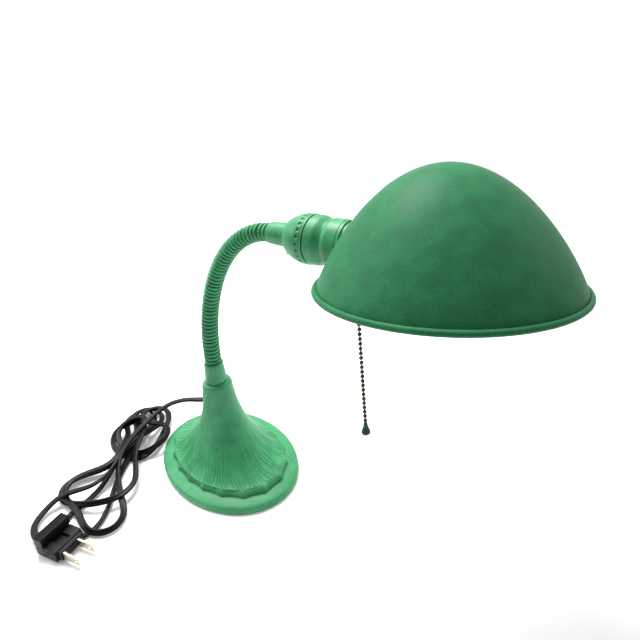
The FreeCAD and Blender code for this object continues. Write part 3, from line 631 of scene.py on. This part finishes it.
FRAMES, AXIS_END = link_frames()
HEAD = Matrix.Translation(AXIS_END) @ Matrix.Rotation(math.radians(90), 4, "Y")


def rib_profile(ribs):
    """The outside of one link: rounded ribs with narrow grooves, and its bore."""
    outside = [(SOCKET_BORE, LINK_GAP), (NECK_CORE, LINK_GAP)]
    half = RIB_PITCH * 0.33
    for rib in range(ribs):
        middle = (rib + 0.5) * RIB_PITCH
        for step in range(9):
            angle = math.radians(-90 + 22.5 * step)
            outside.append((NECK_CORE + (NECK_RIB - NECK_CORE) * math.cos(angle) ** 0.7,
                            middle + half * math.sin(angle)))
    length = ribs * RIB_PITCH
    shoulder = length - LINK_GAP
    tip = length + SPIGOT_REACH
    return outside + [(NECK_CORE, shoulder), (SPIGOT_RADIUS, shoulder), (SPIGOT_RADIUS, tip),
                      (SPIGOT_BORE, tip), (SPIGOT_BORE, SOCKET_DEPTH), (SOCKET_BORE, SOCKET_DEPTH)]


def build_neck():
    """The ribbed links, each turned about its own frame."""
    for number, (ribs, place) in enumerate(zip(LINK_RIBS, FRAMES), start=1):
        link = turned(f"ribbed_link_{number:02d}", rib_profile(ribs), place, 48)
        sharp_shading(link, 40)
        finish_piece(link, "green_neck", f"neck_{number:02d}", "green_neck",
                     f"neck_link_{number:02d}")


def build_ferrules():
    """The tapered sleeves at the foot and the head of the neck."""
    top = CONE_TOP + FERRULE_LENGTH
    tip = top + SPIGOT_REACH
    bore_floor = CONE_TOP + 15.0
    lower = curve_through([(9.0, 91.0), (9.3, 92.2), (9.15, 94.5), (8.6, 102.0), (8.15, 108.5),
                           (8.0, 109.6), (7.5, 110.25)], 5)
    profile = lower + [(SPIGOT_RADIUS, top - 0.7), (SPIGOT_RADIUS, tip), (SPIGOT_BORE, tip),
                       (SPIGOT_BORE, bore_floor), (SOCKET_BORE, bore_floor),
                       (SOCKET_BORE, CONE_TOP)]
    piece = sharp_shading(turned("foot_ferrule", profile, Matrix(), 64), 40)
    finish_piece(piece, "green_enamel", "base", "green_enamel", "ferrule_lower")
    upper = curve_through([(7.5, 0.72), (8.0, 1.2), (8.25, 3.0), (8.7, 9.0), (9.0, 15.0),
                           (9.15, 16.6), (8.9, 17.9)], 5)
    profile = upper + [(SOCKET_BORE, 18.0), (SOCKET_BORE, 0.72)]
    piece = sharp_shading(turned("head_ferrule", profile, HEAD, 64), 40)
    finish_piece(piece, "green_enamel", "head", "green_enamel", "ferrule_upper")


# ---- socket --------------------------------------------------------------------------

DIMPLES = 24
DIMPLE_ROW = 35.0
DIMPLE_RADIUS = 1.25


def dimple_depth(angle, height, centres):
    """How deep the punched dimples sink the cap's skin at a place."""
    depth = 0.0
    for centre in centres:
        across = (angle - centre + math.pi) % (2 * math.pi) - math.pi
        distance = math.hypot(across * 17.6, height - DIMPLE_ROW)
        if distance < DIMPLE_RADIUS * 2:
            depth = max(depth, 0.95 * math.exp(-(distance / DIMPLE_RADIUS) ** 4))
    return depth


def build_cap():
    """The bell cap, with its ring of punched dimples and a rolled seam."""
    outer = curve_through([(9.4, 18.0), (10.4, 18.15), (12.4, 19.6), (14.8, 23.2), (16.8, 27.6),
                           (17.8, 31.2), (18.05, 32.9), (18.3, 33.6), (18.3, 36.4), (18.1, 37.1),
                           (18.15, 38.1)], 9)
    rolled = [(18.35, 38.3), (18.45, 38.7), (18.3, 39.05), (17.9, 39.15)]
    inner = [(17.3, 38.9), (17.25, 33.0), (15.4, 26.6), (12.0, 21.4), (9.4, 19.0)]
    segments = 240
    centres = [math.radians(360 / DIMPLES * step + 5) for step in range(DIMPLES)]
    rings = []
    for radius, height in outer + rolled + inner:
        ring = []
        skin = height < 38.2 and (radius, height) not in inner
        for step in range(segments):
            angle = 2 * math.pi * step / segments
            sunk = dimple_depth(angle, height, centres) if skin else 0.0
            reach = (radius - sunk) * MM
            ring.append(HEAD @ Vector((reach * math.cos(angle), reach * math.sin(angle),
                                       height * MM)))
        rings.append(ring)
    cap = new_mesh("bell_cap", *stitched_rings(rings, looped=True))
    sharp_shading(cap, 40)
    finish_piece(cap, "green_enamel", "head", "green_enamel", "socket_cap")


def build_shell():
    """The socket's shell: a full barrel, narrowing to a plain tube that runs into the shade."""
    outer = curve_through([(17.5, 39.5), (17.95, 39.8), (18.1, 40.6), (18.1, 44.6), (17.9, 46.6),
                           (17.3, 48.4), (16.7, 49.9), (16.2, 51.3), (15.95, 52.6)], 6)
    outer += [(15.9, 99.0)]
    inner = [(15.25, 99.0), (15.25, 51.0), (17.3, 46.0), (17.4, 39.5)]
    shell = turned("barrel_shell", outer + inner, HEAD, 120)
    below = AXIS_END + Vector((CHAIN_AT, 0, -16)) * MM
    cut_hole(shell, below, CHAIN_HOLE_RADIUS * MM, 12 * MM, "Z")
    sharp_shading(shell, 35)
    finish_piece(shell, "green_enamel", "head", "green_enamel", "socket_shell")


def build_collar():
    """The shade's collar, a short sleeve swelling from its foot towards the dome."""
    outer = curve_through([(16.05, 52.7), (16.35, 53.3), (16.9, 54.4), (17.25, 55.8),
                           (17.3, 58.0)], 6)
    profile = outer + [(17.3, 64.4), (16.0, 64.4), (16.0, 53.0)]
    collar = sharp_shading(turned("collar_sleeve", profile, HEAD, 96), 40)
    finish_piece(collar, "green_enamel", "shade_body", "green_enamel", "shade_collar")


def cut_hole(piece, place, radius, depth, axis):
    """A round hole through one wall, cut with a cylinder along an axis."""
    bpy.ops.mesh.primitive_cylinder_add(vertices=64, radius=radius, depth=depth, location=place)
    cutter = bpy.context.active_object
    if axis == "X":
        cutter.rotation_euler = (0, math.radians(90), 0)
    bpy.context.view_layer.update()
    modifier = piece.modifiers.new("hole", "BOOLEAN")
    modifier.operation = "DIFFERENCE"
    modifier.object = cutter
    modifier.solver = "EXACT"
    depsgraph = bpy.context.evaluated_depsgraph_get()
    mesh = bpy.data.meshes.new_from_object(piece.evaluated_get(depsgraph))
    piece.modifiers.clear()
    piece.data = mesh
    bpy.data.objects.remove(cutter)


def build_set_screw():
    """The plain-headed set screw that holds the cap on its pipe."""
    angle = math.radians(-40)
    way = Vector((math.cos(angle), math.sin(angle), 0))
    spin = Vector((0, 0, 1)).rotation_difference(way).to_matrix().to_4x4()
    place = HEAD @ Matrix.Translation(Vector((0, 0, 21.0 * MM))) @ spin
    profile = [(0.02, 5.2), (1.5, 5.2), (1.5, 13.4), (1.35, 13.8), (1.0, 14.0), (0.02, 14.0)]
    screw = turned("cap_screw", profile, place, 32, looped=False)
    sharp_shading(screw, 30)
    finish_piece(screw, "green_enamel", "head", "green_enamel", "cap_set_screw")


# ---- shade ---------------------------------------------------------------------------

SHADE_RADIUS = 84.3
SHADE_DEPTH = 78.2
SHADE_WALL = 0.6
SHADE_CENTRE = (140.5, 0.0, -16.5)
SHADE_NOD = -3.0
SHADE_ROLL = -11.0
OPENING_RADIUS = 17.05
RIM_RADIUS = 84.9
RIM_BEAD = 2.0


def shade_place():
    """The dome's frame: rim centre at the origin, crown along Z."""
    centre = AXIS_END + Vector(SHADE_CENTRE) * MM
    tipped = Matrix.Translation(centre) @ Matrix.Rotation(math.radians(SHADE_NOD), 4, "Y")
    pivot = Matrix.Translation(AXIS_END)
    return pivot @ Matrix.Rotation(math.radians(SHADE_ROLL), 4, "X") @ pivot.inverted() @ tipped


def dome_profile(radius, depth, steps=64):
    """The dome's outline from rim to crown: an ellipse with its shoulder drawn in."""
    power = 2 / 1.2
    points = []
    for step in range(steps + 1):
        angle = math.pi / 2 * step / steps
        points.append((radius * math.cos(angle), depth * math.sin(angle) ** power))
    return points


def build_shade():
    """The spun dome with its rolled rim, open where the socket goes in."""
    inside_radius, inside_depth = SHADE_RADIUS - SHADE_WALL, SHADE_DEPTH - SHADE_WALL
    foot = 1.6
    outer = [point for point in dome_profile(SHADE_RADIUS, SHADE_DEPTH) if point[1] > foot]
    inner = [point for point in dome_profile(inside_radius, inside_depth) if point[1] > foot]
    outer[-1] = (0.05, SHADE_DEPTH)
    inner[-1] = (0.05, inside_depth)
    rim = []
    rim_steps = 21
    for step in range(rim_steps + 1):
        angle = math.radians(118 - step * 290 / rim_steps)
        rim.append((RIM_RADIUS + RIM_BEAD * math.cos(angle), RIM_BEAD * math.sin(angle)))
    rolled = [(SHADE_RADIUS - 0.15, 2.1)] + rim + [(inside_radius - 0.2, 1.2)]
    profile = list(reversed(outer)) + rolled + inner
    place = shade_place()
    shade = turned("dome_shade", profile, place, 200)
    cut_hole(shade, AXIS_END + Vector((60, 0, 0)) * MM, OPENING_RADIUS * MM, 70 * MM, "X")
    clean_seams(shade)
    sharp_shading(shade, 50)
    finish_piece(shade, "green_shade", "shade_body", "green_shade", "shade")


def clean_seams(piece):
    """Merges the doubled points that a cut leaves."""
    work = bmesh.new()
    work.from_mesh(piece.data)
    bmesh.ops.remove_doubles(work, verts=work.verts, dist=0.00002)
    work.to_mesh(piece.data)
    work.free()


# ---- pull chain ----------------------------------------------------------------------

def build_bell_pull():
    """The small bell at the end of the pull chain."""
    low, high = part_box("bell_pull")
    middle = (low + high) / 2
    place = Matrix.Translation((middle.x, middle.y, high.z))
    outside = curve_through([(0.9, 0.0), (1.5, -1.1), (1.75, -2.6), (2.1, -4.4), (2.9, -6.6),
                             (3.45, -8.2), (3.6, -9.2), (3.45, -10.1)], 4)
    profile = [(0.02, 0.0)] + outside + [(2.9, -10.5), (2.5, -10.2), (0.02, -9.6)]
    bell = turned("pull_bell", profile, place, 40, looped=False)
    sharp_shading(bell, 40)
    finish_piece(bell, "dark_enamel", "chain_lower", "dark_brass", "bell_pull")


# ---- plug ----------------------------------------------------------------------------

def bevelled_box(low, high, bevel):
    """Vertices and faces of a box with rounded edges, in millimetres."""
    work = bmesh.new()
    bmesh.ops.create_cube(work, size=1.0)
    low, high = Vector(low), Vector(high)
    for vertex in work.verts:
        for axis in range(3):
            middle = (low[axis] + high[axis]) / 2
            vertex.co[axis] = middle + vertex.co[axis] * (high[axis] - low[axis])
    bmesh.ops.bevel(work, geom=list(work.edges) + list(work.verts), offset=bevel,
                    segments=3, profile=0.6, affect="EDGES")
    vertices = [vertex.co.copy() for vertex in work.verts]
    faces = [[vertex.index for vertex in face.verts] for face in work.faces]
    work.free()
    return vertices, faces


def boxes_piece(name, boxes, place):
    """One piece made of several rounded blocks: (low, high, bevel)."""
    vertices, faces = [], []
    for low, high, bevel in boxes:
        more, rings = bevelled_box(low, high, bevel)
        faces += [[index + len(vertices) for index in ring] for ring in rings]
        vertices += [place @ (vertex * MM) for vertex in more]
    piece = new_mesh(name, vertices, faces)
    return sharp_shading(piece, 30)


def build_plug():
    """The plug's stepped body and its ridged cover."""
    place = (Matrix.Translation(Vector((*PLUG_PLACE, 0)) * MM)
             @ Matrix.Rotation(math.radians(PLUG_TURN), 4, "Z"))
    body = boxes_piece("plug_shell", [
        ((-14.5, -10.5, 1.2), (8.0, 14.0, 8.6), 0.9),
        ((-5.0, -10.2, 7.6), (7.6, -3.2, 11.0), 0.7),
        ((-5.0, 5.4, 7.6), (7.6, 13.6, 11.0), 0.7),
        ((-14.2, -10.3, 7.6), (-6.0, 13.8, 11.0), 0.6),
        ((6.4, -8.5, 2.2), (12.0, 11.4, 10.2), 0.8),
        ((4.8, -9.6, 7.9), (8.0, 12.9, 10.9), 0.5),
    ], place)
    finish_piece(body, "plug_plastic", "base", "plug_plastic", "plug_body")
    block = ((-14.5, -10.5, 11.05), (-5.5, 15.0, 18.0), 0.8)
    ridges = [((-13.9 + 1.9 * step, -10.2, 17.6), (-12.9 + 1.9 * step, 14.6, 18.5), 0.25)
              for step in range(5)]
    cover = boxes_piece("plug_lever", [block] + ridges, place)
    finish_piece(cover, "plug_plastic", "base", "plug_plastic", "plug_cover")
    return body, cover


add_camera()
cord, cord_path, cord_length = build_cord()
paint_cad_nodes()
build_base()
build_neck()
build_ferrules()
build_cap()
build_shell()
build_collar()
build_set_screw()
build_shade()
build_bell_pull()
plug, lever = build_plug()
add_studio()
